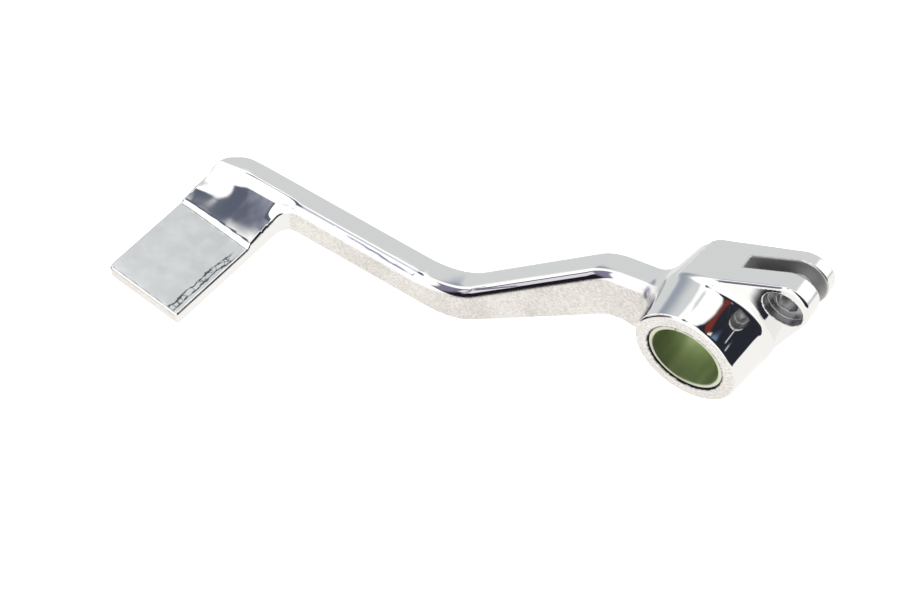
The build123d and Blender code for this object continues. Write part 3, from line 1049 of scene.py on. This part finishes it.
# %% [markdown]
# ## Shine
# Buffed metal is nearly a mirror; every other finish adds roughness. Even a buffed face isn't
# quite flat, so a long, very low wave bends its reflections, and the belt's grain is cut on top.
# Both are far too low to be modelled: a bump of a few hundredths of a millimetre does it.

# %% Finish the lever's material
BUFFED_ROUGHNESS = 0.05
ADDED_ROUGHNESS = {"brushed": 0.24, "satin": 0.12, "machined_and_shaded": 0.22, "painted_gap_shade": 0.3,
                   "tide": 0.1, "dull": 0.28, "sawn": 0.3}
WAVE_SCALE, WAVE_HEIGHT, GRAIN_HEIGHT = 90.0, 0.00006, 0.00002

roughness = BUFFED_ROUGHNESS
for name, added in ADDED_ROUGHNESS.items():
    roughness = roughness + added * areas[name]
wave = noise(place, WAVE_SCALE, 1.5)
buffing = net.node("ShaderNodeBump", None,
                   {"Height": wave, "Distance": WAVE_HEIGHT, "Strength": 1.0})
lines = net.node("ShaderNodeBump", None,
                 {"Height": grain * areas["brushed"], "Distance": GRAIN_HEIGHT, "Strength": 1.0,
                  "Normal": buffing})
shader = net.node("ShaderNodeBsdfPrincipled", None,
                  {"Base Color": colour, "Metallic": 1.0, "Roughness": roughness,
                   "Normal": lines})
net.finish("ShaderNodeOutputMaterial", shader)
lever.data.materials.append(lever_look)

# %% [markdown]
# ## The bushes' lining
# At the ends of a bush the bare edge of the strip shows pale, and the lower inner corner is painted
# near black. Both could be faces with materials of their own; as masks they get soft borders.
# Each point's radius and its distance to the nearer end say where it is.

# %% Store the bushes' masks
BUSH_RECESS = 0.5
END_DEPTH, BARE_R = (0.05, 0.3), (11.2, 11.45)
LOWER_X, LOWER_Z, CORNER_R, CORNER_DEPTH = (-6, 2), (-4, 2), (11.2, 11.4), (0.25, 0.45)

for bush in bushes:
    spots = values_of(bush.data.vertices, "co", 3, float)
    bx, by, bz = spots.T / MM
    radius = np.hypot(bx, bz)
    to_end = HUB_HALF - BUSH_RECESS - np.abs(by)
    end_face = (1 - rise(to_end, *END_DEPTH)) * rise(radius, *BARE_R)
    lower = rise(-bx, *LOWER_X) * rise(-bz, *LOWER_Z)
    inner_edge = lower * (1 - rise(radius, *CORNER_R)) * (1 - rise(to_end, *CORNER_DEPTH))
    store(bush.data, "end_face", end_face)
    store(bush.data, "inner_edge", inner_edge)
    print(bush.name, "pale points", int((end_face > 0.5).sum()))

# %% [markdown]
# ## The green layer
# The sliding layer is green and thin, so the lining shines like tinted metal and takes the light
# in soft streaks along the axis. A painted green would look like plastic, so most of it is
# metallic, and a noise stretched along the axis changes its colour and its roughness together.

# %% Paint the bushes
LINING_DARK, LINING_LIGHT, EDGE_COLOUR = (0.36, 0.44, 0.25), (0.66, 0.76, 0.42), (0.80, 0.82, 0.70)
STREAK_SCALE, STREAK_STRETCH, STREAK_EDGE = 170.0, (1.0, 0.05, 1.0), (0.2, 0.8)
LINING_METALLIC, LINING_ROUGHNESS, STREAK_ROUGHNESS = 0.7, 0.26, 0.1
CORNER_DARKENING = 0.8

bush_look, net = new_look("lined_bush")
place = net.node("ShaderNodeTexCoord", output="Object")
end_face, inner_edge = mask(net, "end_face"), mask(net, "inner_edge")
streak = noise(place, STREAK_SCALE, 1.0, stretch=STREAK_STRETCH)
colour = net.mix(streak.step(*STREAK_EDGE), LINING_DARK, LINING_LIGHT)
colour = net.mix(end_face, colour, EDGE_COLOUR)
# The lower inner corner at each end is darkened towards near black.
colour = net.mix(CORNER_DARKENING * inner_edge, colour, NEAR_BLACK)
shader = net.node("ShaderNodeBsdfPrincipled", None,
                  {"Base Color": colour, "Metallic": LINING_METALLIC,
                   "Roughness": LINING_ROUGHNESS + STREAK_ROUGHNESS * streak})
net.finish("ShaderNodeOutputMaterial", shader)
for bush in bushes:
    bush.data.materials.append(bush_look)

# %% [markdown]
# ## The end
# The CAD's box was measured and printed when the model was loaded; the finished look's box
# is not measured here.

# %% Finish
print("scene built")
